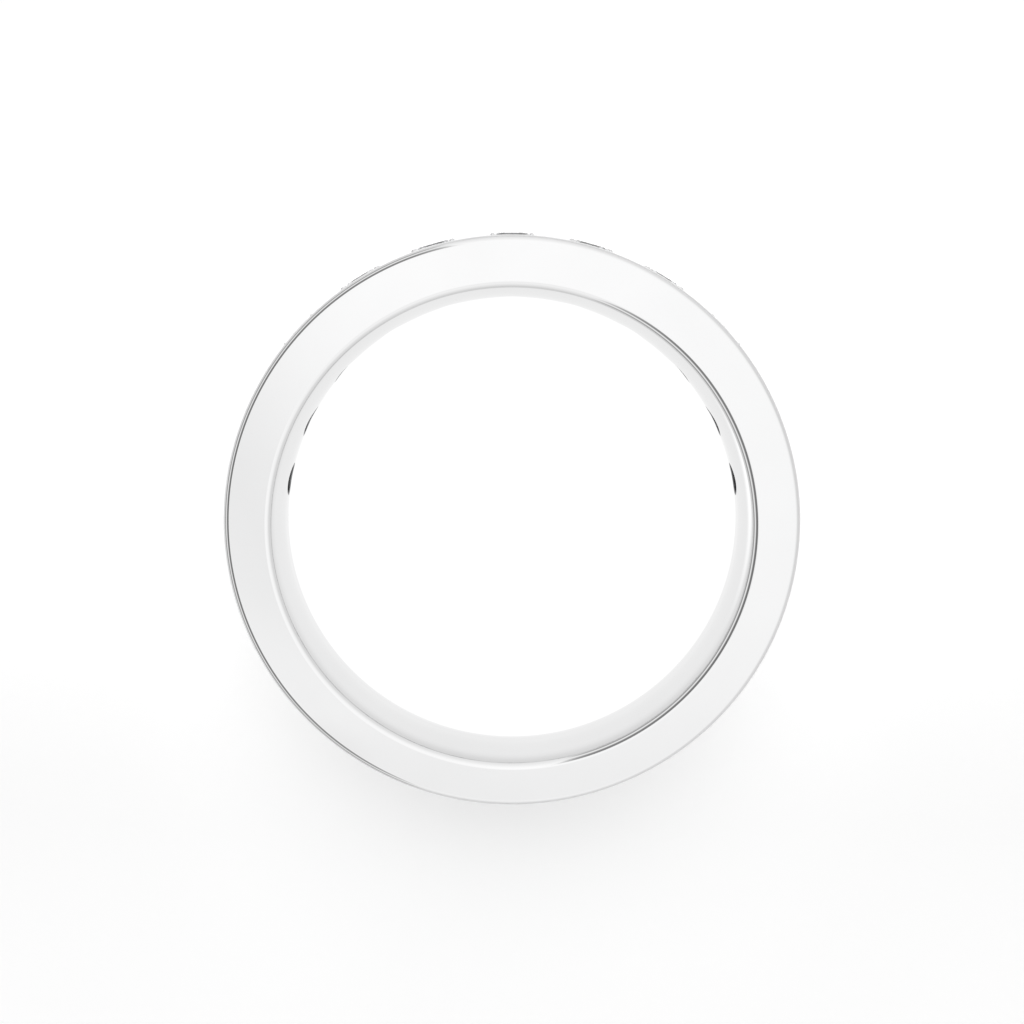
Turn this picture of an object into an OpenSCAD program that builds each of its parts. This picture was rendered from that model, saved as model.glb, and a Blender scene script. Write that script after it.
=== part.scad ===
// Half eternity ring: a polished white metal band with a comfort-fit finger hole and one row
// of round brilliant-cut stones over a little less than half of it. Each stone is set flush in the
// metal, under four small beads that are raised from it.
// Sizes are in millimetres and angles in degrees. The origin is the centre of the finger hole,
// halfway through the band's width. +Z runs along the finger, and +Y points to the middle stone.

/* [Finger hole] */
// Diameter of the finger hole where it is narrowest, in the middle of the width
finger_d = 17.2; // [15:0.2:22]
// Width of the straight part in the middle of the hole
land_w = 0.4; // [0.2:0.1:1.2]
// How far the hole has opened, on its radius, where the flat side face begins
mouth_rise = 0.62; // [0.5:0.02:0.8]
// Radius of the rounded edge between the hole and the side face
mouth_round = 0.3; // [0.1:0.05:0.3]

/* [Band] */
// Width of the band along the finger
band_w = 3.8; // [3.4:0.1:5]
// Thickness of the metal behind the middle stone
front_t = 2.34; // [2.2:0.02:2.8]
// Thickness of the metal opposite the middle stone
back_t = 2.08; // [1.8:0.02:2.4]
// Radius of the rounded edge between the outside and the side face
outer_round = 0.24; // [0.1:0.02:0.4]

/* [Stones] */
// Number of stones in the row
stone_count = 11; // [3:2:13]
// Angle from one stone to the next
stone_pitch = 15.75; // [15.5:0.25:18]
// Diameter of a stone at its girdle
stone_d = 2; // [1.9:0.05:2.1]
// Height of a stone's table above the metal
table_rise = 0.05; // [0.05:0.01:0.16]
// Turn of each stone about its own axis, past that of its neighbour nearer the middle
stone_turn = 11; // [0:1:45]

/* [Brilliant cut] */
// Width of the table as a share of the girdle's diameter
table_share = 0.54; // [0.52:0.01:0.58]
// Angle of the crown's main facets
crown_angle = 34.5; // [33:0.5:36]
// Angle of the pavilion's main facets
pavilion_angle = 41; // [40:0.25:42]
// Height of the girdle as a share of its diameter
girdle_share = 0.025; // [0.02:0.005:0.04]
// Length of the star facets as a share of the way from the table's edge to the girdle
star_share = 0.5; // [0.4:0.05:0.6]
// Length of the lower halves as a share of the way from the girdle to the tip
lower_share = 0.77; // [0.7:0.01:0.8]

/* [Setting] */
// Gap between a stone and its seat
seat_gap = 0.02; // [0.01:0.01:0.03]
// How far the metal's lip reaches in over the girdle
lip_grip = 0.06; // [0.04:0.01:0.07]
// Width of the bright bevel round a stone, at the outer surface
bevel_w = 0.1; // [0.05:0.01:0.15]
// Diameter of the light hole from the finger hole to the stone
light_hole_d = 1.2; // [0.9:0.02:1.24]
// Diameter of a bead, one of the grains of the band's own metal pushed over a stone's edge
bead_d = 0.2; // [0.2:0.02:0.3]
// Height of a bead above the outer surface
bead_rise = 0.05; // [0.04:0.01:0.12]
// How far outside the girdle the middle of a bead stands
bead_out = 0.03; // [0:0.01:0.06]

/* [Hidden] */
$fn = 96;
cut = 1;
finger_r = finger_d / 2;
half_w = band_w / 2;
half_land = land_w / 2;
outer_r = finger_r + (front_t + back_t) / 2;
outer_shift = (front_t - back_t) / 2;

// Centre of the mouth's round in the section. The round is cut off at the side face this little
// before it would run out level with it, and the hole has opened by mouth_rise there.
round_short = 0.002;
round_x = finger_r + mouth_rise + sqrt(mouth_round ^ 2 - (mouth_round - round_short) ^ 2);
round_z = half_w - mouth_round + round_short;

// The hole opens from the land to its mouth along an arc that touches both the land and the
// mouth's round, so the arc's radius follows from how far it rises and how far it runs. The two
// meet on the line through their centres. The arc laps a hair over the land and the round as much
// again over the arc, so that they join without a step.
lap = 0.0001;
arc_rise = round_x - finger_r;
arc_run = round_z - half_land;
arc_r = (arc_rise ^ 2 + arc_run ^ 2 - mouth_round ^ 2) / (2 * (arc_rise - mouth_round));
arc_end_angle = asin(arc_run / (arc_r - mouth_round));

// Heights along a stone's axis are counted outwards from the middle of its girdle.
girdle_r = stone_d / 2;
girdle_top = girdle_share * stone_d / 2;
table_r = table_share * girdle_r;
table_z = girdle_top + (girdle_r - table_r) * tan(crown_angle);
tip_z = -girdle_top - girdle_r * tan(pavilion_angle);
FACETS = 8;
half_step = 180 / FACETS;
star_r = table_r * cos(half_step) + star_share * (girdle_r - table_r * cos(half_step));
star_z = table_z - (star_r * cos(half_step) - table_r) * tan(crown_angle);
lower_r = (1 - lower_share) * girdle_r;
lower_z = tip_z + lower_r * cos(half_step) * tan(pavilion_angle);

// The facets next to the girdle are the steepest, so the seat keeps its gap from them.
crown_slope = (star_z - girdle_top) / (girdle_r - star_r);
pavilion_slope = (-girdle_top - lower_z) / (girdle_r - lower_r);

// The seat's own sizes, in the same heights.
seat_r = girdle_r + seat_gap;
lip_r = girdle_r - lip_grip;
surface_z = table_z - table_rise;
bevel_r = lip_r + bevel_w;
light_r = light_hole_d / 2;

// A low bead stands further out, so that it keeps the seat's gap from the crown.
BEADS = 4;
bead_r = bead_d / 2;
bead_z = surface_z + bead_rise - bead_r;
bead_clear = ((bead_r + seat_gap) * norm([1, crown_slope]) - (bead_z - girdle_top)) / crown_slope;
bead_at = girdle_r + max(bead_out, bead_clear);

function two_digits(i) = i < 10 ? str("0", i) : str(i);
function stone_name(i) = str("stone_", two_digits(i));
function steps_from_middle(i) = i - (stone_count + 1) / 2;
function stone_angle(i) = steps_from_middle(i) * stone_pitch;

// Distance from the finger hole's axis to the outer surface, in the direction of an angle
// turned from the middle stone.
function surface_r(a) = outer_shift * cos(a) + sqrt(outer_r ^ 2 - (outer_shift * sin(a)) ^ 2);
function around(r, step, z) = [r * cos(step * half_step), r * sin(step * half_step), z];

// Height past the girdle's edge, at a radius, of a line that keeps the gap from a facet's slope.
function clear_of(slope, r) = (girdle_r - r) * slope + seat_gap * norm([1, slope]);

// Section of the disc that the band is cut from, with both outer edges rounded.
module disc_section() {
    square([outer_r - outer_round, half_w]);
    square([outer_r, half_w - outer_round]);
    translate([outer_r - outer_round, half_w - outer_round])
        circle(r = outer_round);
}

// Section of the metal beside the finger hole: the land, the comfort arc as far as its end, the
// mouth's round and the metal past the mouth.
module bore_metal_section() {
    translate([finger_r, 0])
        square([outer_r, half_land]);
    translate([finger_r + arc_r, half_land])
        intersection() {
            circle(r = arc_r + lap);
            rotate(-arc_end_angle)
                translate([-2 * arc_r, -2 * arc_r])
                    square(2 * arc_r);
        }
    translate([round_x, round_z])
        circle(r = mouth_round + 2 * lap);
    translate([round_x, 0])
        square([outer_r, half_w + cut]);
}

// Both halves of a section that is drawn for positive Z only.
module both_sides() {
    children();
    mirror([0, 1])
        children();
}

module disc_blank() {
    translate([0, outer_shift, 0])
        rotate_extrude()
            both_sides()
                disc_section();
}

module finger_hole() {
    rotate_extrude()
        difference() {
            translate([0, -half_w - cut])
                square([round_x, band_w + 2 * cut]);
            both_sides()
                bore_metal_section();
        }
}

// Moves a thing drawn about +Z, at girdle height 0, to a stone's place on the band.
module at_stone(i) {
    rotate([0, 0, -stone_angle(i)])
        translate([0, surface_r(stone_angle(i)) - surface_z, 0])
            rotate([-90, 0, 0])
                children();
}

// The space cut for one stone: light hole, bearing, lip and bright bevel.
module seat() {
    hole_end_z = finger_r - surface_r(0) - cut;
    lip_z = girdle_top + clear_of(crown_slope, lip_r);
    above_z = surface_z + cut * (surface_z - lip_z) / bevel_w;
    rotate_extrude()
        polygon([
            [0, hole_end_z],
            [light_r, hole_end_z],
            [light_r, -girdle_top - clear_of(pavilion_slope, light_r)],
            [seat_r, -girdle_top - clear_of(pavilion_slope, seat_r)],
            [seat_r, girdle_top + clear_of(crown_slope, seat_r)],
            [lip_r, lip_z],
            [bevel_r + cut, above_z],
            [0, above_z],
        ]);
}

// The beads round one stone, at the corners of a square that lies along the band.
module beads() {
    for (k = [0:BEADS - 1])
        rotate([0, 0, (k + 0.5) * 360 / BEADS])
            translate([bead_at, 0, bead_z])
                sphere(r = bead_r);
}

module band() {
    color([0.83, 0.84, 0.85]) {
        difference() {
            disc_blank();
            finger_hole();
            for (i = [1:stone_count])
                at_stone(i)
                    seat();
        }
        for (i = [1:stone_count])
            at_stone(i)
                beads();
    }
}

// One brilliant-cut stone about +Z, table upwards. Its rings of points, from the top, are the
// table, the tips of the star facets, the girdle's two edges and the tips of the lower halves.
module brilliant() {
    table = [for (k = [0:FACETS - 1]) around(table_r, 2 * k, table_z)];
    stars = [for (k = [0:FACETS - 1]) around(star_r, 2 * k + 1, star_z)];
    girdle_up = [for (k = [0:2 * FACETS - 1]) around(girdle_r, k, girdle_top)];
    girdle_down = [for (k = [0:2 * FACETS - 1]) around(girdle_r, k, -girdle_top)];
    lowers = [for (k = [0:FACETS - 1]) around(lower_r, 2 * k + 1, lower_z)];
    star_0 = FACETS;
    up_0 = 2 * FACETS;
    down_0 = 4 * FACETS;
    lower_0 = 6 * FACETS;
    tip = 7 * FACETS;
    faces = concat(
        [[for (k = [FACETS - 1:-1:0]) k]],
        [for (k = [0:FACETS - 1]) let (n = (k + 1) % FACETS, p = (k + FACETS - 1) % FACETS,
            g = 2 * k, g_mid = 2 * k + 1, g_next = (2 * k + 2) % (2 * FACETS)) each [
            [k, n, star_0 + k],
            [k, star_0 + k, up_0 + g, star_0 + p],
            [star_0 + k, up_0 + g_mid, up_0 + g],
            [star_0 + k, up_0 + g_next, up_0 + g_mid],
            [up_0 + g, up_0 + g_mid, down_0 + g_mid, down_0 + g],
            [up_0 + g_mid, up_0 + g_next, down_0 + g_next, down_0 + g_mid],
            [lower_0 + k, down_0 + g, down_0 + g_mid],
            [lower_0 + k, down_0 + g_mid, down_0 + g_next],
            [tip, lower_0 + p, down_0 + g, lower_0 + k],
        ]]);
    polyhedron(points = concat(table, stars, girdle_up, girdle_down, lowers, [[0, 0, tip_z]]),
        faces = faces);
}

module stone(i) {
    color([0.92, 0.96, 1.0])
        at_stone(i)
            rotate([0, 0, steps_from_middle(i) * stone_turn])
                brilliant();
}

band();
for (i = [1:stone_count])
    stone(i);
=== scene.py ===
"""Half eternity ring: a polished white metal band with a row of bead-set brilliant-cut stones.

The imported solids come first, as the fixed frame. The stones keep their shape and get their
finish. The band is made again on the same surfaces, with its sharp edges softened, and lies
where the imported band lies. Shapes are worked out in millimetres and written in metres.
"""

import logging
import math
from collections.abc import Sequence
from dataclasses import dataclass, field
from enum import Enum

import bpy
import numpy as np
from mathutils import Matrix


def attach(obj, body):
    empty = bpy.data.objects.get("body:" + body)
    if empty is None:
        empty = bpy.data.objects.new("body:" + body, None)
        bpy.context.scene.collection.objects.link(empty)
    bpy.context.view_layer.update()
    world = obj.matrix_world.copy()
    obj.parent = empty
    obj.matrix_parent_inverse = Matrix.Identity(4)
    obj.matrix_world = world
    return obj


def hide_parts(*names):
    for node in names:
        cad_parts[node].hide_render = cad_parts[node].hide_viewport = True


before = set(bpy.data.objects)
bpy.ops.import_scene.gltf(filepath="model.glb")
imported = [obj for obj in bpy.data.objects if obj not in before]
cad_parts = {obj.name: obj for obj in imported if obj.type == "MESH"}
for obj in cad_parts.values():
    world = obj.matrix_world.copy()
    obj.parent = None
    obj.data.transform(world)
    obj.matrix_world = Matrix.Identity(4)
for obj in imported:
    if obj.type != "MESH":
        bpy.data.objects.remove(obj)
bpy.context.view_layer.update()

Colour = tuple[float, float, float, float]
Stops = Sequence[tuple[float, float]]
Socket = bpy.types.NodeSocket
Group = bpy.types.ShaderNodeTree

MM = 0.001
LOG = logging.getLogger("ring")

# Points nearer to each other than this, in millimetres, are one point.
WELD = 1e-5
# A point nearer to a surface than this, in millimetres, lies on it.
ON_SURFACE = 1e-6
# The smallest length that anything is divided by.
TINY = 1e-9


@dataclass(frozen=True)
class BandSizes:
    """Sizes of the band in millimetres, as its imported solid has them."""

    finger_r: float = 8.6
    land_half: float = 0.2
    mouth_rise: float = 0.6546
    mouth_round: float = 0.3
    half_width: float = 1.9
    outer_r: float = 10.81
    outer_shift: float = 0.13
    outer_round: float = 0.24

    @property
    def mouth_x(self) -> float:
        """Radius of the circle where the hole's round meets the side face."""
        return self.finger_r + self.mouth_rise

    @property
    def mouth_z(self) -> float:
        """Height of the centre of the mouth's round in the section."""
        return self.half_width - self.mouth_round

    @property
    def arc_r(self) -> float:
        """Radius of the comfort arc, which touches the land and the mouth's round."""
        run = self.mouth_z - self.land_half
        rise = self.mouth_rise
        return (rise**2 + run**2 - self.mouth_round**2) / (2 * (rise - self.mouth_round))

    @property
    def arc_end(self) -> float:
        """Angle in the section at which the comfort arc gives way to the mouth's round."""
        return math.asin((self.mouth_z - self.land_half) / (self.arc_r - self.mouth_round))

    @property
    def flank_half(self) -> float:
        """Half the height of the straight outside, between its rounded edges."""
        return self.half_width - self.outer_round

    def bore_radius(self, z: np.ndarray) -> np.ndarray:
        """Radius of the finger hole at each height.

        It is the finger's radius on the land. Past the land it grows as an arc does, by the
        arc's radius less the root of that radius squared less the height past the land squared.

        Args:
            z: Heights from the middle of the width, up to the end of the comfort arc.

        Returns:
            The radii, in the shape of z.
        """
        past = np.maximum(np.abs(z) - self.land_half, 0)
        return self.finger_r + self.arc_r - np.sqrt(self.arc_r**2 - past**2)

    def outer_distance(self, turn: np.ndarray, radius: np.ndarray) -> np.ndarray:
        """Distance from the finger hole's axis to a circle about the outside's own axis.

        With s the shift between the two axes it is s cos(turn) plus the root of the radius
        squared less s sin(turn) squared.

        Args:
            turn: Directions, turned clockwise from +Y, in radians.
            radius: Radii of the circles about the outside's axis.

        Returns:
            The distances, one for each pair.
        """
        s = self.outer_shift
        return s * np.cos(turn) + np.sqrt(radius**2 - (s * np.sin(turn)) ** 2)


@dataclass(frozen=True)
class StoneSizes:
    """Sizes of a stone, its seat and its beads in millimetres.

    Heights are counted outwards from the middle of the girdle, and the pitch is in radians.
    """

    count: int = 11
    pitch: float = math.radians(15.75)
    girdle_r: float = 1.0
    girdle_half: float = 0.025
    crown_slope: float = 0.8436
    pavilion_slope: float = 0.8894
    table_z: float = 0.3412
    table_rise: float = 0.05
    gap: float = 0.02
    lip_grip: float = 0.06
    bevel_width: float = 0.1
    light_r: float = 0.6
    beads: int = 4
    bead_r: float = 0.1
    bead_rise: float = 0.05
    bead_out: float = 0.03

    @property
    def surface_z(self) -> float:
        """Height of the band's outer surface above the middle of the girdle."""
        return self.table_z - self.table_rise

    @property
    def lip_r(self) -> float:
        """Radius of the lip that holds the stone down."""
        return self.girdle_r - self.lip_grip

    @property
    def lip_z(self) -> float:
        """Height of the lip above the middle of the girdle."""
        return self.girdle_half + self.clear_of(self.crown_slope, self.lip_r)

    @property
    def seat_r(self) -> float:
        """Radius of the seat's wall, which keeps the gap from the girdle."""
        return self.girdle_r + self.gap

    @property
    def row(self) -> range:
        """Indices of the stones, where 0 is the middle one."""
        return range(-(self.count // 2), self.count // 2 + 1)

    def clear_of(self, slope: float, radius: float) -> float:
        """Height past the girdle's edge of a wall that keeps the gap from facets of a slope."""
        return (self.girdle_r - radius) * slope + self.gap * math.hypot(1, slope)

    def turn(self, index: int) -> float:
        """Direction of a stone, turned from +Y, where index 0 is the middle stone."""
        return index * self.pitch


@dataclass
class Patch:
    """A grid of points on a surface, with the share of unpolished cut and painted shade at each point.

    The columns of a closed patch run all the way round. The outside of its first cell faces the
    way that outward points.
    """

    points: np.ndarray
    rough: np.ndarray
    closed: bool
    outward: np.ndarray

    def quads(self) -> np.ndarray:
        """Indices of the four corners of each cell, in order round the cell, facing outwards.

        Returns:
            An array of rows of four indices into the flattened points.
        """
        rows, columns = self.points.shape[:2]
        index = np.arange(rows * columns).reshape(rows, columns)
        after = np.roll(index, -1, axis=1) if self.closed else index[:, 1:]
        here = index if self.closed else index[:, :-1]
        cells = np.stack([here[:-1], after[:-1], after[1:], here[1:]], axis=-1).reshape(-1, 4)
        a, b, c, d = self.points.reshape(-1, 3)[cells[0]]
        faces_out = np.dot(np.cross(c - a, d - b), self.outward) > 0
        return cells if faces_out else cells[:, ::-1]


def joined(patches: list[Patch]) -> tuple[np.ndarray, np.ndarray, np.ndarray]:
    """Joins patches into one surface, and makes one point of those that fall together.

    Args:
        patches: The patches, which share the points of their borders.

    Returns:
        The points, the share of unpolished cut and painted shade at each, and the corners of the faces.
    """
    starts = np.cumsum([0] + [p.rough.size for p in patches[:-1]])
    points = np.concatenate([p.points.reshape(-1, 3) for p in patches])
    rough = np.concatenate([p.rough.ravel() for p in patches])
    quads = np.concatenate([p.quads() + start for p, start in zip(patches, starts)])
    keys = np.round(points / WELD).astype(np.int64)
    _, first, place = np.unique(keys, axis=0, return_index=True, return_inverse=True)
    return points[first], rough[first], place.ravel()[quads]


def lifted(flat: np.ndarray, height: np.ndarray) -> np.ndarray:
    """Points given as across and z, each put at its height along a stone's axis."""
    return np.stack([flat[..., 0], height, flat[..., 1]], axis=-1)


def rounded_path(corners: list[np.ndarray], cuts: list[float], steps: int) -> list[np.ndarray]:
    """Points along a path of straight stretches whose inner corners are rounded.

    Each inner corner becomes a parabola: at a share t it is (1 - t)^2 of the point one cut
    before the corner, 2 t (1 - t) of the corner and t^2 of the point one cut after it.

    Args:
        corners: Corners of the path, each an array of points, one for each direction.
        cuts: How far from each inner corner its round starts and ends.
        steps: Number of steps in each round.

    Returns:
        The points, from the first corner to the last.
    """
    path = [corners[0]]
    for before, corner, after, cut in zip(corners, corners[1:], corners[2:], cuts):
        back, ahead = before - corner, after - corner
        start = corner + cut * back / np.linalg.norm(back, axis=-1, keepdims=True)
        end = corner + cut * ahead / np.linalg.norm(ahead, axis=-1, keepdims=True)
        for t in np.linspace(0, 1, steps + 1):
            path.append((1 - t) ** 2 * start + 2 * t * (1 - t) * corner + t**2 * end)
    return path + [corners[-1]]


def make_piece(
    name: str, points: np.ndarray, faces: np.ndarray, normals: np.ndarray, finish: bpy.types.Material
) -> bpy.types.Object:
    """Writes a closed surface into a new piece at the origin.

    Args:
        name: The piece's name.
        points: Rows of points in millimetres.
        faces: Rows of a face's corners as indices of points, facing outwards.
        normals: The shading normal at each point.
        finish: The piece's material.

    Returns:
        The piece's object, in metres, which rides on the ring's body.
    """
    mesh = bpy.data.meshes.new(name)
    mesh.from_pydata((points * MM).tolist(), [], faces.tolist())
    mesh.shade_smooth()
    mesh.normals_split_custom_set_from_vertices(normals.tolist())
    mesh.materials.append(finish)
    piece = bpy.data.objects.new(name, mesh)
    bpy.context.scene.collection.objects.link(piece)
    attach(piece, "root")
    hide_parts("band")
    LOG.info("%s: %d points, %d faces", name, len(points), len(faces))
    return piece


@dataclass
class Band:
    """The metal band, with its stone seats and light holes, as one closed surface.

    The steps, rows and rings say how finely each stretch is divided. The stones' part of the
    hole's wall reaches bore_half to each side of the middle of the width. The breaks are how
    far from its sharp edge each softened edge starts. The seats have seat_cut_and_shade of the
    light holes' unpolished cut and painted shade. All lengths are in millimetres.
    """

    sizes: BandSizes = field(default_factory=BandSizes)
    stones: StoneSizes = field(default_factory=StoneSizes)
    steps_per_stone: int = 20
    steps_beyond: int = 236
    flank_rows: int = 20
    edge_steps: int = 12
    face_steps: int = 4
    mouth_steps: int = 10
    arc_steps: int = 7
    break_steps: int = 4
    border_rings: int = 9
    crowding: float = 1.5
    rim_guesses: int = 12
    bore_half: float = 1.2
    rim_break: float = 0.03
    lip_break: float = 0.012
    seat_break: float = 0.02
    hole_break: float = 0.05
    seat_cut_and_shade: float = 0.15

    @property
    def half_row(self) -> int:
        """Number of steps from the middle stone's axis to the end of the row."""
        return self.steps_per_stone * self.stones.count // 2

    @property
    def steps_round(self) -> int:
        """Number of steps all the way round the band."""
        return 2 * self.half_row + self.steps_beyond

    def turns(self, steps: np.ndarray) -> np.ndarray:
        """Directions of whole steps round the band, turned from +Y, in radians.

        Along the row the steps share out the pitch, and past it they share out the rest of the
        circle evenly.

        Args:
            steps: Numbers of steps, from the row's start to one circle past it.

        Returns:
            The directions.
        """
        end = self.half_row * self.stones.pitch / self.steps_per_stone
        past = self.steps_round - self.half_row
        return np.interp(steps, [-self.half_row, self.half_row, past], [-end, end, 2 * math.pi - end])

    def swept(self, distance: np.ndarray, turn: np.ndarray, z: np.ndarray) -> np.ndarray:
        """Points at a distance from the finger hole's axis, in a direction and at a height."""
        z = np.broadcast_to(z, distance.shape)
        return np.stack([distance * np.sin(turn), distance * np.cos(turn), z], axis=-1)

    def side(self, sign: int) -> Patch:
        """One side of the band, from the outside's edge over the side face into the hole.

        In order it is a quarter circle about the outside's axis, straight steps across the
        flat face to the mouth's circle, the mouth's round and the comfort arc.

        Args:
            sign: 1 for the upper side and -1 for the lower.

        Returns:
            The side's patch.
        """
        s = self.sizes
        turn = self.turns(np.arange(-self.half_row, self.steps_round - self.half_row))
        bend = np.radians(np.linspace(0, 90, self.edge_steps + 1))[:, None]
        edge = s.outer_distance(turn, s.outer_r - s.outer_round + s.outer_round * np.cos(bend))
        edge_z = s.flank_half + s.outer_round * np.sin(bend)
        share = np.arange(1, self.face_steps + 1)[:, None] / self.face_steps
        face = edge[-1] * (1 - share) + s.mouth_x * share
        face_z = np.full_like(share, s.half_width)
        lean = np.linspace(math.pi / 2, s.arc_end, self.mouth_steps + 1)[1:, None]
        mouth = s.mouth_x - s.mouth_round * np.cos(lean)
        mouth_z = s.mouth_z + s.mouth_round * np.sin(lean)
        last = math.asin((self.bore_half - s.land_half) / s.arc_r)
        lean = np.linspace(s.arc_end, last, self.arc_steps + 1)[1:, None]
        arc = s.finger_r + s.arc_r * (1 - np.cos(lean))
        arc_z = s.land_half + s.arc_r * np.sin(lean)
        wide = np.ones_like(turn)
        distance = np.concatenate([edge, face, mouth * wide, arc * wide])
        z = np.concatenate([edge_z, face_z, mouth_z, arc_z]) * sign
        points = self.swept(distance, turn, z)
        return Patch(points, np.zeros(points.shape[:2]), True, np.array([0.0, 1.0, 0.0]))

    def plain_sector(self, inside: bool) -> Patch:
        """The outside or the bore over the part of the band that has no stones.

        Args:
            inside: True for the bore and False for the outside.

        Returns:
            The sector's patch.
        """
        s = self.sizes
        turn = self.turns(np.arange(self.half_row, self.steps_round - self.half_row + 1))
        half = self.bore_half if inside else s.flank_half
        z = np.linspace(-half, half, self.flank_rows + 1)[:, None]
        out = np.array([math.sin(turn[0]), math.cos(turn[0]), 0])
        if inside:
            distance = s.bore_radius(z) * np.ones_like(turn)
        else:
            distance = s.outer_distance(turn, np.full_like(z, s.outer_r))
        points = self.swept(distance, turn, z)
        return Patch(points, np.zeros(points.shape[:2]), False, -out if inside else out)

    def outside_height(self, index: int, across: np.ndarray) -> np.ndarray:
        """Height of the outside along a stone's axis, from the finger hole's axis.

        It is the far crossing of a line beside the stone's axis with the outside's circle.

        Args:
            index: The stone, where 0 is the middle one.
            across: How far beside the stone's axis each line lies, in the ring's plane.

        Returns:
            The heights.
        """
        s, turn = self.sizes, self.stones.turn(index)
        along, beside = s.outer_shift * math.cos(turn), -s.outer_shift * math.sin(turn)
        return along + np.sqrt(s.outer_r**2 - (across - beside) ** 2)

    def bore_height(self, across: np.ndarray, z: np.ndarray) -> np.ndarray:
        """Height of the bore along a stone's axis: the root of radius squared less across squared."""
        return np.sqrt(self.sizes.bore_radius(z) ** 2 - across**2)

    def girdle_distance(self, index: int) -> float:
        """Distance from the finger hole's axis to the middle of a stone's girdle."""
        return float(self.outside_height(index, np.zeros(1))[0]) - self.stones.surface_z

    def cell_border(self, index: int, inside: bool) -> np.ndarray:
        """Points round the border of a stone's share of the outside or the bore.

        Args:
            index: The stone, where 0 is the middle one.
            inside: True for the bore and False for the outside.

        Returns:
            Rows of the distance across and the height z, once round the border.
        """
        s, n, rows = self.sizes, self.steps_per_stone, self.flank_rows
        half = self.bore_half if inside else s.flank_half
        first = index * n - n // 2
        z_line = np.linspace(-half, half, rows + 1)
        step = np.concatenate([np.arange(n), np.full(rows, n), n - np.arange(n), np.zeros(rows, int)])
        z = np.concatenate([np.full(n, -half), z_line[:-1], np.full(n, half), z_line[:0:-1]])
        turn = self.turns(first + step)
        distance = s.bore_radius(z) if inside else s.outer_distance(turn, np.full(turn.shape, s.outer_r))
        return np.stack([distance * np.sin(turn - self.stones.turn(index)), z], axis=-1)

    def to_ring(self, index: int, local: np.ndarray) -> np.ndarray:
        """Turns points about the finger hole's axis to a stone's place.

        Args:
            index: The stone, where 0 is the middle one.
            local: Points given as across, along the stone's axis and z.

        Returns:
            The points as the ring's x, y and z.
        """
        turn = self.stones.turn(index)
        x = local[..., 0] * math.cos(turn) + local[..., 1] * math.sin(turn)
        y = -local[..., 0] * math.sin(turn) + local[..., 1] * math.cos(turn)
        return np.stack([x, y, local[..., 2]], axis=-1)

    def rim_radius(self, index: int, across: np.ndarray) -> np.ndarray:
        """Radius at which a seat's bevel meets the outside, in each direction.

        The bevel's radius is the lip's, plus its lean times the height above the lip. The
        outside's height at one guess at the radius gives the next guess.

        Args:
            index: The stone, where 0 is the middle one.
            across: How far a unit length in each direction goes across.

        Returns:
            The radii.
        """
        st, girdle = self.stones, self.girdle_distance(index)
        lean = st.bevel_width / (st.surface_z - st.lip_z)
        rim = np.full(across.shape, st.lip_r + st.bevel_width)
        for _ in range(self.rim_guesses):
            rim = st.lip_r + lean * (self.outside_height(index, rim * across) - girdle - st.lip_z)
        return rim

    def seat_corners(self, index: int, way: np.ndarray) -> list[np.ndarray]:
        """Sharp corners of a seat's section, with a point past each end for the end's round.

        In order they lie on the outside, at the rim, the lip, the top and the bottom of the
        seat's wall, the top and the foot of the light hole, and on the bore.

        Args:
            index: The stone, where 0 is the middle one.
            way: Directions about the stone's axis, as rows of a unit length's across and z.

        Returns:
            For each corner, rows of a radius and a height above the middle of the girdle.
        """
        st, girdle = self.stones, self.girdle_distance(index)
        one = np.ones(len(way))
        rim = self.rim_radius(index, way[:, 0])
        hole = st.light_r * one

        def on_outside(radius: np.ndarray) -> tuple[np.ndarray, np.ndarray]:
            """Points of the outside at a radius, one for each direction."""
            return radius, self.outside_height(index, radius * way[:, 0]) - girdle

        def on_bore(radius: np.ndarray) -> tuple[np.ndarray, np.ndarray]:
            """Points of the bore at a radius, one for each direction."""
            return radius, self.bore_height(radius * way[:, 0], radius * way[:, 1]) - girdle

        corners = [
            on_outside(rim + self.rim_break),
            on_outside(rim),
            (st.lip_r * one, st.lip_z * one),
            (st.seat_r * one, (st.girdle_half + st.clear_of(st.crown_slope, st.seat_r)) * one),
            (st.seat_r * one, (-st.girdle_half - st.clear_of(st.pavilion_slope, st.seat_r)) * one),
            (hole, (-st.girdle_half - st.clear_of(st.pavilion_slope, st.light_r)) * one),
            on_bore(hole),
            on_bore(hole + self.hole_break),
        ]
        return [np.stack(corner, axis=-1) for corner in corners]

    def cell(self, index: int) -> Patch:
        """A stone's share of the band, as one tube of rings from the outside to the bore.

        The rings run in from the border to the seat's mouth, down the bevel, round the lip,
        down the bearing and the light hole, and out over the bore to the border there. Each
        ring is a curve in the direction of theta about the stone's axis. Towards the seat and
        the light hole the rings crowd together, by a power of their number.

        Args:
            index: The stone, where 0 is the middle one.

        Returns:
            The cell's patch.
        """
        outer, inner = self.cell_border(index, False), self.cell_border(index, True)
        theta = np.arctan2(outer[:, 1], outer[:, 0])
        way = np.stack([np.cos(theta), np.sin(theta)], axis=-1)
        corners = self.seat_corners(index, way)

        # The rounds at the two ends stop a little short of the path's own ends, so that no two
        # rings fall together.
        short = 0.98
        cuts = [self.rim_break * short, self.lip_break, *[self.seat_break] * 3, self.hole_break * short]
        path = np.stack(rounded_path(corners, cuts, self.break_steps))
        walls = lifted(path[..., :1] * way, path[..., 1] + self.girdle_distance(index))

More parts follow.
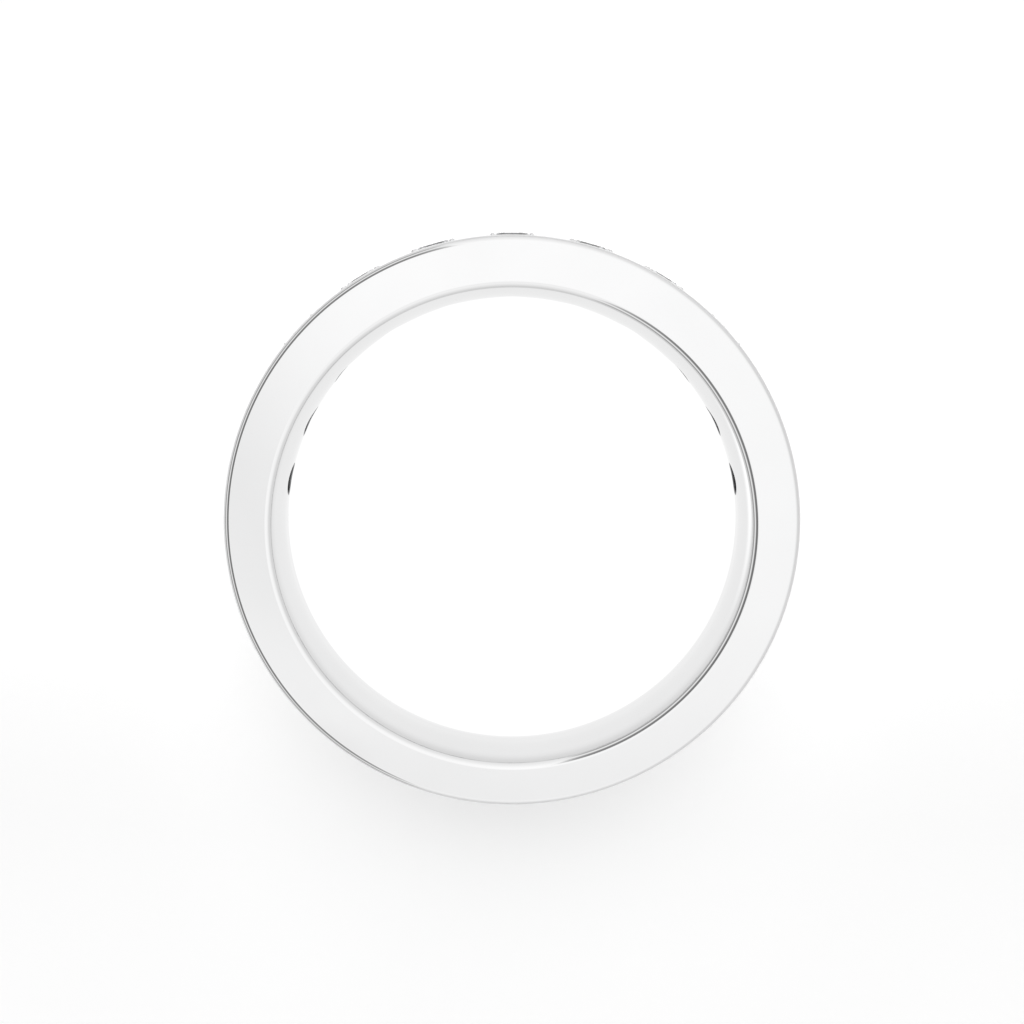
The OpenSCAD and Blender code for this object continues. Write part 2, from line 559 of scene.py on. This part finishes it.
        pull = (np.arange(self.border_rings, 0, -1) / self.border_rings)[:, None, None] ** self.crowding
        flat = outer * pull + corners[0][:, :1] * way * (1 - pull)
        out_rings = lifted(flat, self.outside_height(index, flat[..., 0]))
        pull = pull[::-1]
        flat = inner * pull + corners[-1][:, :1] * way * (1 - pull)
        in_rings = lifted(flat, self.bore_height(flat[..., 0], flat[..., 1]))
        points = self.to_ring(index, np.concatenate([out_rings, walls, in_rings]))

        # After one ring on the outside come the rounds of the rim and the lip, which are
        # polished, the two of the seat's wall and the two of the light hole, whose last ring is
        # polished again, as is the one on the bore.
        seat_starts, hole_starts = (1 + rounds * (self.break_steps + 1) for rounds in (2, 4))
        # The seat's wall takes a part and the light hole all of the unpolished cut, which also paints shade
        # into the metal's colour there.
        wall_cut_and_shade = np.zeros(len(walls))
        wall_cut_and_shade[seat_starts:hole_starts] = self.seat_cut_and_shade
        wall_cut_and_shade[hole_starts:-2] = 1
        rough = np.zeros(points.shape[:2])
        rough[len(out_rings) : -len(in_rings)] = wall_cut_and_shade[:, None]
        turn = self.stones.turn(index)
        return Patch(points, rough, True, np.array([math.sin(turn), math.cos(turn), 0]))

    def plain_normals(self, points: np.ndarray) -> tuple[np.ndarray, np.ndarray]:
        """True normals of the points that lie on the outside, a side face or the bore.

        Outside, the distance past the straight parts of a rounded disc's section, in radius
        and height, points along the normal. In the bore, the normal points away from the
        metal's arc that the point lies on, or to the axis on the land.

        Args:
            points: Rows of points in millimetres.

        Returns:
            The normals, and True for each point that they are good for.
        """
        s = self.sizes
        height, sign = np.abs(points[:, 2]), np.sign(points[:, 2])[:, None]
        flat = points[:, :2] - [0, s.outer_shift]
        far = np.linalg.norm(flat, axis=1)
        past = np.stack([far - (s.outer_r - s.outer_round), height - s.flank_half], axis=-1)
        past = np.maximum(past, 0)
        reach = np.linalg.norm(past, axis=1)
        on_outside = np.abs(reach - s.outer_round) < ON_SURFACE
        past = past / np.maximum(reach, TINY)[:, None]
        out_normal = np.concatenate([flat / far[:, None] * past[:, :1], past[:, 1:] * sign], axis=1)

        near = np.linalg.norm(points[:, :2], axis=1)
        on_round = height > s.land_half + s.arc_r * math.sin(s.arc_end)
        centre_x = np.where(on_round, s.mouth_x, s.finger_r + s.arc_r)
        centre_z = np.where(on_round, s.mouth_z, np.minimum(height, s.land_half))
        radius = np.where(on_round, s.mouth_round, s.arc_r)
        arm = np.stack([near - centre_x, height - centre_z], axis=-1)
        length = np.linalg.norm(arm, axis=1)
        on_bore = np.abs(length - radius) < ON_SURFACE
        arm = arm / np.maximum(length, TINY)[:, None]
        bore_normal = np.concatenate([points[:, :2] / near[:, None] * arm[:, :1], arm[:, 1:] * sign], axis=1)
        return np.where(on_outside[:, None], out_normal, bore_normal), on_outside | on_bore

    def build(self, finish: bpy.types.Material) -> bpy.types.Object:
        """Joins the patches into one closed mesh with true normals.

        Where a point lies on no plain surface, its normal is the sum of those of its faces,
        each the cross product of the face's diagonals.

        Args:
            finish: The band's material.

        Returns:
            The band's piece.
        """
        patches = [self.side(1), self.side(-1), self.plain_sector(False), self.plain_sector(True)]
        patches += [self.cell(index) for index in self.stones.row]
        points, rough, quads = joined(patches)

        a, b, c, d = (points[quads[:, corner]] for corner in range(4))
        span = np.cross(c - a, d - b)
        normals = np.zeros_like(points)
        for corner in range(4):
            np.add.at(normals, quads[:, corner], span)
        plain, good = self.plain_normals(points)
        normals = np.where(good[:, None], plain, normals)
        normals /= np.linalg.norm(normals, axis=1, keepdims=True)

        piece = make_piece("band_polished", points, quads, normals, finish)
        # This share also carries the painted shade of the light holes and seats.
        cut = piece.data.attributes.new("rough_cut_and_shade", "FLOAT", "POINT")
        cut.data.foreach_set("value", rough.astype(np.float32))
        return piece


@dataclass
class Beads:
    """The small round grains of the band's metal that stand over the stones' edges."""

    band: Band
    steps: int = 8

    def ball(self) -> tuple[np.ndarray, np.ndarray]:
        """A unit ball from the six grids of a cube, so that it has no poles.

        Each grid is a plane of tangents of evenly spaced angles, one unit from the middle,
        and every point is moved along its radius to the unit ball.

        Returns:
            The points, with the faces that join them.
        """
        side = np.tan(np.linspace(-math.pi / 4, math.pi / 4, self.steps + 1))
        u, v = np.meshgrid(side, side, indexing="ij")
        patches = []
        for axis in range(3):
            for sign in (1, -1):
                grid = np.roll(np.stack([u, v, np.full_like(u, sign)], axis=-1), axis, axis=-1)
                grid /= np.linalg.norm(grid, axis=-1, keepdims=True)
                patches.append(Patch(grid, np.zeros_like(u), False, grid[0, 0]))
        points, _, quads = joined(patches)
        return points, quads

    def build(self, finish: bpy.types.Material) -> bpy.types.Object:
        """Makes all the beads as one piece.

        Args:
            finish: The band's material.

        Returns:
            The beads' piece.
        """
        st = self.band.stones
        unit, quads = self.ball()
        corner = (np.arange(st.beads) + 0.5) * 2 * math.pi / st.beads
        out = st.girdle_r + st.bead_out
        centres = []
        for index in st.row:
            along = self.band.girdle_distance(index) + st.surface_z + st.bead_rise - st.bead_r
            local = np.stack([out * np.cos(corner), np.full(st.beads, along), out * np.sin(corner)], axis=-1)
            centres.append(self.band.to_ring(index, local))
        centre = np.concatenate(centres)
        points = (centre[:, None] + unit * st.bead_r).reshape(-1, 3)
        faces = (quads + (np.arange(len(centre)) * len(unit))[:, None, None]).reshape(-1, 4)
        return make_piece("beads", points, faces, np.tile(unit, (len(centre), 1)), finish)


def grey(value: float) -> Colour:
    """A neutral colour of a given value."""
    return (value, value, value, 1.0)


class NodeBoard:
    """Shorthand for laying out shader nodes in one material, group or world."""

    def __init__(self, tree: bpy.types.NodeTree) -> None:
        """Keeps the tree that the nodes go into."""
        self.tree = tree

    def add(self, kind: str, settings: dict | None = None, **inputs: object) -> bpy.types.Node:
        """Adds a node, sets its options, and sets or links its inputs.

        Args:
            kind: The node's type.
            settings: Its options by name.
            **inputs: Its inputs, as feed names them but with underscores for spaces, each a
                number, a tuple or the output to link.

        Returns:
            The node.
        """
        node = self.tree.nodes.new(kind)
        for name, value in (settings or {}).items():
            setattr(node, name, value)
        for name, value in inputs.items():
            self.feed(node, name.replace("_", " "), value)
        return node

    def feed(self, node: bpy.types.Node, name: str, value: object) -> None:
        """Sets or links one input.

        Args:
            node: The node that has it.
            name: Its name in lower case, or n and its number among the inputs in use.
            value: A number or a tuple to set, or the output to link.
        """
        sockets = [s for s in node.inputs if s.enabled]
        if name[1:].isdigit():
            found = sockets[int(name[1:])]
        else:
            found = next(s for s in sockets if s.name.lower() == name)
        if isinstance(value, Socket):
            self.tree.links.new(value, found)
        else:
            found.default_value = value

    def maths(self, operation: str, *values: object) -> Socket:
        """Adds a math node on one or more numbers or outputs, and returns its result."""
        inputs = {f"n{number}": value for number, value in enumerate(values)}
        return self.add("ShaderNodeMath", {"operation": operation}, **inputs).outputs[0]

    def length(self, x: object, y: object) -> Socket:
        """Adds the length of a pair: the root of x squared plus y squared."""
        squares = [self.maths("MULTIPLY", part, part) for part in (x, y)]
        return self.maths("SQRT", self.maths("ADD", *squares))

    def ranged(
        self, value: object, given: tuple[float, float], wanted: tuple[object, object], blend: str = "LINEAR"
    ) -> Socket:
        """Brings a number from one range to another, and holds it inside that.

        Args:
            value: The number.
            given: The two ends of its own range.
            wanted: What it becomes at those two ends, each a number or an output.
            blend: How it changes from one end to the other.

        Returns:
            The new number.
        """
        (n1, n2), (n3, n4) = given, wanted
        settings = {"interpolation_type": blend}
        return self.add("ShaderNodeMapRange", settings, n0=value, n1=n1, n2=n2, n3=n3, n4=n4).outputs[0]

    def ramp(self, at: object, stops: Stops) -> Socket:
        """Adds a ramp of greys.

        Args:
            at: The place on the ramp, from 0 to 1.
            stops: Pairs of a place and the value there, in order.

        Returns:
            The ramp's colour.
        """
        node = self.add("ShaderNodeValToRGB", n0=at)
        elements = node.color_ramp.elements
        while len(elements) < len(stops):
            elements.new(elements[-1].position)
        for element, (place, value) in zip(elements, stops):
            element.position = place
            element.color = grey(value)
        return node.outputs[0]

    def times(self, first: object, second: object) -> Socket:
        """Multiplies two colours, and returns the product."""
        settings = {"data_type": "RGBA", "blend_type": "MULTIPLY"}
        node = self.add("ShaderNodeMix", settings, factor=1.0, a=first, b=second)
        return next(s for s in node.outputs if s.enabled)

    def mix(self, share: object, first: object, second: object) -> Socket:
        """Mixes two colours, or two numbers where the second is a plain one.

        Args:
            share: The second's share.
            first: The first colour or number, plain or as an output.
            second: The second one.

        Returns:
            The mix.
        """
        kind = "FLOAT" if isinstance(second, float) else "RGBA"
        node = self.add("ShaderNodeMix", {"data_type": kind}, factor=share, a=first, b=second)
        return next(s for s in node.outputs if s.enabled)


def new_finish(name: str) -> tuple[bpy.types.Material, NodeBoard, bpy.types.Node]:
    """Starts a material.

    Args:
        name: Its name.

    Returns:
        The material, the board for its nodes and its shader.
    """
    finish = bpy.data.materials.new(name)
    finish.use_nodes = True
    return finish, NodeBoard(finish.node_tree), finish.node_tree.nodes["Principled BSDF"]


class Marks(Enum):
    """Names of the two shader groups: slow change and fine lines."""

    VARIATION = "soft_variation"
    SCRATCHES = "polishing_marks"


@dataclass(frozen=True)
class VariationGroup:
    """Slow change over a surface, as handling and uneven polish leave it.

    The noise is counted as low at thin and below, and as high at thick and above.
    """

    scale: float = 300.0
    detail: float = 4.0
    thin: float = 0.3
    thick: float = 0.7

    def build(self) -> Group:
        """Makes the group: a cloudy noise in Object coordinates, brought between two levels.

        Returns:
            The group, with the inputs Scale, Low and High and the output Value.
        """
        tree = bpy.data.node_groups.new(Marks.VARIATION.value, "ShaderNodeTree")
        face = tree.interface
        for name, value in (("Scale", self.scale), ("Low", 0.0), ("High", 1.0)):
            face.new_socket(name, in_out="INPUT", socket_type="NodeSocketFloat").default_value = value
        face.new_socket("Value", in_out="OUTPUT", socket_type="NodeSocketFloat")
        board = NodeBoard(tree)
        given, result = board.add("NodeGroupInput"), board.add("NodeGroupOutput")
        place = board.add("ShaderNodeTexCoord").outputs["Object"]
        scale = given.outputs["Scale"]
        noise = board.add("ShaderNodeTexNoise", vector=place, scale=scale, detail=self.detail)
        levels = given.outputs["Low"], given.outputs["High"]
        board.feed(result, "value", board.ranged(noise.outputs[0], (self.thin, self.thick), levels))
        return tree


@dataclass(frozen=True)
class ScratchGroup:
    """Fine lines that a polishing wheel leaves, running round the ring."""

    lines_per_mm: float = 14
    breaks_per_radian: float = 3.0
    detail: float = 2.0

    def build(self) -> Group:
        """Makes the group: noise that is fast with radius and height, and slow round the ring.

        Returns:
            The group, with the input Amount and the output Height.
        """
        tree = bpy.data.node_groups.new(Marks.SCRATCHES.value, "ShaderNodeTree")
        face = tree.interface
        face.new_socket("Amount", in_out="INPUT", socket_type="NodeSocketFloat").default_value = 1.0
        face.new_socket("Height", in_out="OUTPUT", socket_type="NodeSocketFloat")
        board = NodeBoard(tree)
        given, result = board.add("NodeGroupInput"), board.add("NodeGroupOutput")
        place = board.add("ShaderNodeTexCoord").outputs["Object"]
        x, y, z = board.add("ShaderNodeSeparateXYZ", n0=place).outputs
        per_metre = self.lines_per_mm / MM
        across = board.maths("MULTIPLY", board.length(x, y), per_metre)
        up = board.maths("MULTIPLY", z, per_metre)
        along = board.maths("MULTIPLY", board.maths("ARCTAN2", x, y), self.breaks_per_radian)
        lines = board.add("ShaderNodeCombineXYZ", n0=across, n1=up, n2=along).outputs[0]
        noise = board.add("ShaderNodeTexNoise", vector=lines, scale=1.0, detail=self.detail)
        board.feed(result, "height", board.maths("MULTIPLY", noise.outputs[0], given.outputs["Amount"]))
        return tree


def placed(board: NodeBoard, group: Group, **inputs: float) -> Socket:
    """Places a shader group in a material.

    Args:
        board: The material's board.
        group: The group.
        **inputs: The material's own values, under the names of the group's inputs.

    Returns:
        The group's output.
    """
    node = board.tree.nodes.new("ShaderNodeGroup")
    node.node_tree = group
    for name, value in inputs.items():
        node.inputs[name.capitalize()].default_value = value
    return node.outputs[0]


@dataclass(frozen=True)
class PolishedWhiteMetal:
    """Mirror-polished white metal with faint polishing marks, and an unpolished cut in the light holes whose
    colour is painted shade.

    The polish varies between smooth and hazy. The marks' height is in metres.
    """

    bright: Colour = (0.85, 0.85, 0.852, 1)
    dull: Colour = (0.83, 0.83, 0.832, 1)
    # Painted shade: the dark colour of the light holes and, in part, the seats, where shade falls in the
    # recesses.
    shaded: Colour = (0.24, 0.24, 0.245, 1)
    smooth: float = 0.035
    hazy: float = 0.06
    cut_roughness: float = 0.3
    mark_height: float = 2e-8
    colour_scale: float = 260.0
    polish_scale: float = 900.0

    def build(self, variation: Group, scratches: Group) -> bpy.types.Material:
        """Makes the material.

        Args:
            variation: The group of slow change.
            scratches: The group of polishing marks.

        Returns:
            The material.
        """
        finish, board, shader = new_finish("polished_white_metal")
        cloud = placed(board, variation, scale=self.colour_scale)
        polished = board.mix(cloud, self.dull, self.bright)
        polish = placed(board, variation, scale=self.polish_scale, low=self.smooth, high=self.hazy)
        cut = board.add("ShaderNodeAttribute", {"attribute_name": "rough_cut_and_shade"}).outputs["Fac"]
        # The cut share roughens the metal and also darkens its colour with painted shade in the light holes
        # and seats.
        board.feed(shader, "base color", board.mix(cut, polished, self.shaded))
        board.feed(shader, "roughness", board.mix(cut, polish, self.cut_roughness))
        board.feed(shader, "metallic", 1.0)
        height = placed(board, scratches, amount=1.0)
        bump = board.add("ShaderNodeBump", strength=1.0, distance=self.mark_height, height=height)
        board.feed(shader, "normal", bump.outputs[0])
        return finish


@dataclass(frozen=True)
class ClearStone:
    """Clear, colourless brilliant-cut stone with a fine haze on its polish."""

    clear: Colour = (0.985, 0.99, 1.0, 1)
    cool: Colour = (0.95, 0.97, 1.0, 1)
    ior: float = 2.417
    haze: float = 0.012
    colour_scale: float = 500.0
    haze_scale: float = 2500.0

    def build(self, variation: Group) -> bpy.types.Material:
        """Makes the material.

        Args:
            variation: The group of slow change.

        Returns:
            The material.
        """
        finish, board, shader = new_finish("clear_stone")
        cloud = placed(board, variation, scale=self.colour_scale)
        board.feed(shader, "base color", board.mix(cloud, self.clear, self.cool))
        haze = placed(board, variation, scale=self.haze_scale, low=0.0, high=self.haze)
        board.feed(shader, "roughness", haze)
        board.feed(shader, "ior", self.ior)
        board.feed(shader, "transmission weight", 1.0)
        return finish


@dataclass(frozen=True)
class PaleFloor:
    """Matt white sweep with the faintest unevenness and painted light, brighter to the camera than in a
    reflection.

    Inside the ring it glows evenly with painted light, and takes no shadow. A reflection sees
    it darker the flatter it looks along it, a painted shade. The shades are pairs of one less the
    sine of the ray's slope, and the share of the light that is left. The lifts are pairs of a
    distance in front of the ring's middle, up to reach, and the painted light added there. A
    painted pool of light, which only reflections see, lies at a spot in the hole. Lengths are in
    millimetres.
    """

    light: Colour = (0.93, 0.93, 0.93, 1)
    shade: Colour = (0.915, 0.915, 0.915, 1)
    hole_r: float = 9.4
    lift_reflected: float = 0.15
    hole_seen: float = 1.02
    hole_reflected: float = 0.97
    pool_at: tuple[float, float] = (3.0, -0.5)
    pool_r: float = 2.1
    pool_light: float = 0.3
    reach: float = 40
    roughness: float = 0.9
    unevenness_scale: float = 60.0
    lifts: Stops = (
        (4.0, 0.25), (7.5, 0.22), (10.5, 0.2), (12.5, 0.195), (15.0, 0.205), (19.0, 0.215),
    )
    shades: Stops = (
        (0.43, 1.0), (0.52, 0.96), (0.6, 0.88), (0.7, 0.8), (0.8, 0.8), (1.0, 0.88),
    )

    def build(self, variation: Group) -> bpy.types.Material:
        """Makes the material.

        Args:
            variation: The group of slow change.

        Returns:
            The material.
        """
        finish, board, shader = new_finish("pale_floor")
        seen = board.add("ShaderNodeLightPath").outputs["Is Camera Ray"]
        facing = board.add("ShaderNodeLayerWeight").outputs["Facing"]
        # Painted shade: reflections see the floor darker the flatter they look along it.
        slope = board.mix(seen, board.ramp(facing, self.shades), grey(1.0))
        place = board.add("ShaderNodeTexCoord").outputs["Object"]
        x, y, _ = board.add("ShaderNodeSeparateXYZ", n0=place).outputs
        inside = board.maths("LESS_THAN", board.length(x, y), self.hole_r * MM)

        cloud = placed(board, variation, scale=self.unevenness_scale)
        pale = board.times(slope, board.mix(cloud, self.shade, self.light))
        # Painted light added in front of the ring for the camera, and a little everywhere for reflections.
        ahead = board.maths("MULTIPLY", y, -1 / (self.reach * MM))
        lift = board.ramp(ahead, [(far / self.reach, value) for far, value in self.lifts])
        around = board.mix(seen, grey(self.lift_reflected), lift)

        # Painted pool of light at a spot in the hole, seen only in reflections.
        from_pool = (board.maths("SUBTRACT", at, middle * MM) for at, middle in zip((x, y), self.pool_at))
        pool_range = (self.hole_reflected + self.pool_light, self.hole_reflected)
        pool = board.ranged(board.length(*from_pool), (0.0, self.pool_r * MM), pool_range, "SMOOTHSTEP")
        glow = board.times(slope, board.mix(seen, pool, grey(self.hole_seen)))

        # Painted light: inside the ring the floor takes no light and glows instead.
        board.feed(shader, "base color", board.mix(inside, pale, grey(0.0)))
        board.feed(shader, "emission color", board.mix(inside, around, glow))
        board.feed(shader, "emission strength", 1.0)
        board.feed(shader, "roughness", self.roughness)
        board.feed(shader, "specular ior level", 0.0)
        return finish


class Side(Enum):
    """The four sides of the studio round the ring, as seen by the camera."""

    LEFT = (-1, 0)
    RIGHT = (1, 0)
    TOP = (0, 1)
    BOTTOM = (0, -1)


@dataclass
class Studio:
    """The pale floor, the soft light all round, the two lights on the floor and the camera.

    Places are in millimetres, angles in radians and the camera's clip in metres. A side's ramp
    is pairs of an angle from straight up, in degrees, and the brightness there. Its spread is
    two cosines of the angle between a level direction and the side, at which the side starts to
    count and counts in full, and then its weight.
    """

    floor_z: float = -BandSizes.half_width
    floor_half: float = 3000
    lights_z: float = 500
    even_energy: float = 1.6
    soft_energy: float = 1.35
    soft_tilt: float = math.radians(-42)
    soft_angle: float = math.radians(60)
    camera_at: tuple[float, float, float] = (0.0, 11.74, 75.37)
    camera_pitch: float = math.radians(-8.56)
    lens: float = 70
    sensor: float = 36
    clip: tuple[float, float] = (0.001, 10)
    ramps: dict[Side, Stops] = field(default_factory=lambda: {
        Side.LEFT: [(0, 1.15), (6, 1.13), (8.3, 1.06), (10, 0.98), (11.5, 0.955), (13, 0.98),
                    (14.1, 1.04), (15.8, 1.06), (17.5, 0.3), (19, 0.2), (40, 0.2), (45, 0.45),
                    (52, 0.95), (62, 0.95), (69, 0.4), (80, 0.34), (86, 0.5), (89, 0.8)],
        Side.RIGHT: [(0, 1.15), (12, 1.11), (24, 1.1), (36, 1.03), (47, 0.93), (57, 0.82),
                     (70, 0.77), (86, 0.79)],
        Side.TOP: [(0, 1.17), (20, 1.14), (38, 1.07), (56, 1.0), (76, 0.94), (88, 0.88)],
        Side.BOTTOM: [(0, 1.17), (5, 1.13), (12, 1.09), (15.3, 1.04), (16.6, 1.0), (30, 1.06),
                      (47, 0.98), (68, 0.88), (80, 0.76), (88, 0.7)],
    })
    spread: dict[Side, tuple[float, float, float]] = field(default_factory=lambda: {
        Side.LEFT: (0.25, 0.6, 16.0), Side.RIGHT: (0.1, 0.9, 1.0),
        Side.TOP: (0.3, 1.0, 1.0), Side.BOTTOM: (0.3, 1.0, 1.0),
    })

    def build_floor(self, finish: bpy.types.Material) -> None:
        """Makes the floor that the ring lies on.

        Args:
            finish: The floor's material.
        """
        half, z = self.floor_half, self.floor_z
        mesh = bpy.data.meshes.new("floor")
        corners = np.array([(-half, -half, z), (half, -half, z), (half, half, z), (-half, half, z)])
        mesh.from_pydata((corners * MM).tolist(), [], [(0, 1, 2, 3)])
        mesh.materials.append(finish)
        floor = bpy.data.objects.new("floor", mesh)
        bpy.context.scene.collection.objects.link(floor)

    def build_world(self) -> None:
        """Makes the soft light all round.

        Each side of the studio has a ramp from straight up to the horizon. A direction takes
        the sides' ramps in shares that grow as its level part turns to face each side.
        """
        world = bpy.data.worlds.new("studio")
        bpy.context.scene.world = world
        world.use_nodes = True
        world.cycles_visibility.diffuse = False
        board = NodeBoard(world.node_tree)
        background = world.node_tree.nodes["Background"]
        place = board.add("ShaderNodeTexCoord").outputs["Generated"]
        x, y, z = board.add("ShaderNodeSeparateXYZ", n0=place).outputs
        polar = board.maths("DIVIDE", board.maths("ARCCOSINE", z), math.pi)
        level = board.maths("MAXIMUM", board.length(x, y), TINY)
        total, weights = 0.0, 0.0
        for side, stops in self.ramps.items():
            dx, dy = side.value
            toward = board.maths("DIVIDE", board.maths("MULTIPLY", x if dx else y, float(dx or dy)), level)
            low, high, most = self.spread[side]
            weight = board.ranged(toward, (low, high), (0.0, most), "SMOOTHSTEP")
            ramp = board.ramp(polar, [(angle / 180, value) for angle, value in stops])
            total = board.maths("ADD", total, board.maths("MULTIPLY", weight, ramp))
            weights = board.maths("ADD", weights, weight)
        total = board.maths("DIVIDE", total, weights)
        seen = board.add("ShaderNodeLightPath").outputs["Is Camera Ray"]
        board.feed(background, "color", board.mix(seen, total, 1.0))

    def add_light(self, name: str, energy: float, tilt: float) -> bpy.types.Light:
        """Adds a sun that leaves no glare on the metal or the stones.

        Args:
            name: The light's name.
            energy: Its strength.
            tilt: How far it is turned about the X axis, in radians.

        Returns:
            The light's data.
        """
        data = bpy.data.lights.new(name, "SUN")
        data.energy = energy
        light = bpy.data.objects.new(name, data)
        light.location = (0, 0, self.lights_z * MM)
        light.rotation_euler = (tilt, 0, 0)
        light.visible_glossy = False
        light.visible_transmission = False
        bpy.context.scene.collection.objects.link(light)
        return data

    def build_lights(self) -> None:
        """Makes an even light over the floor, and a soft one from beyond the row of stones."""
        even = self.add_light("even_light", self.even_energy, 0.0)
        even.use_shadow = False
        soft = self.add_light("soft_light", self.soft_energy, self.soft_tilt)
        soft.angle = self.soft_angle

    def build_camera(self) -> None:
        """Makes the camera, in front of the ring and a little above its axis."""
        data = bpy.data.cameras.new("camera")
        data.lens = self.lens
        data.sensor_width = self.sensor
        data.clip_start, data.clip_end = self.clip
        camera = bpy.data.objects.new("camera", data)
        camera.location = [v * MM for v in self.camera_at]
        camera.rotation_euler = (self.camera_pitch, 0, 0)
        bpy.context.scene.collection.objects.link(camera)
        bpy.context.scene.camera = camera

    def build(self, variation: Group) -> None:
        """Makes the whole studio, with plain display colours.

        Args:
            variation: The group of slow change, for the floor.
        """
        self.build_camera()
        self.build_floor(PaleFloor().build(variation))
        self.build_world()
        self.build_lights()
        bpy.context.scene.view_settings.view_transform = "Standard"


def dress_stones(finish: bpy.types.Material) -> None:
    """Gives every packed stone its finish.

    Args:
        finish: The stones' material.
    """
    for name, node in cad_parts.items():
        if name.startswith("stone_"):
            node.data.materials.clear()
            node.data.materials.append(finish)
            LOG.info("%s: dressed", name)


def main() -> None:
    """Builds the studio, the band, its beads and the stones' finish."""
    logging.basicConfig(level=logging.INFO, format="%(name)s: %(message)s")
    variation, scratches = VariationGroup().build(), ScratchGroup().build()
    Studio().build(variation)
    metal = PolishedWhiteMetal().build(variation, scratches)
    band = Band()
    band.build(metal)
    Beads(band).build(metal)
    dress_stones(ClearStone().build(variation))


if __name__ == "__main__":
    main()
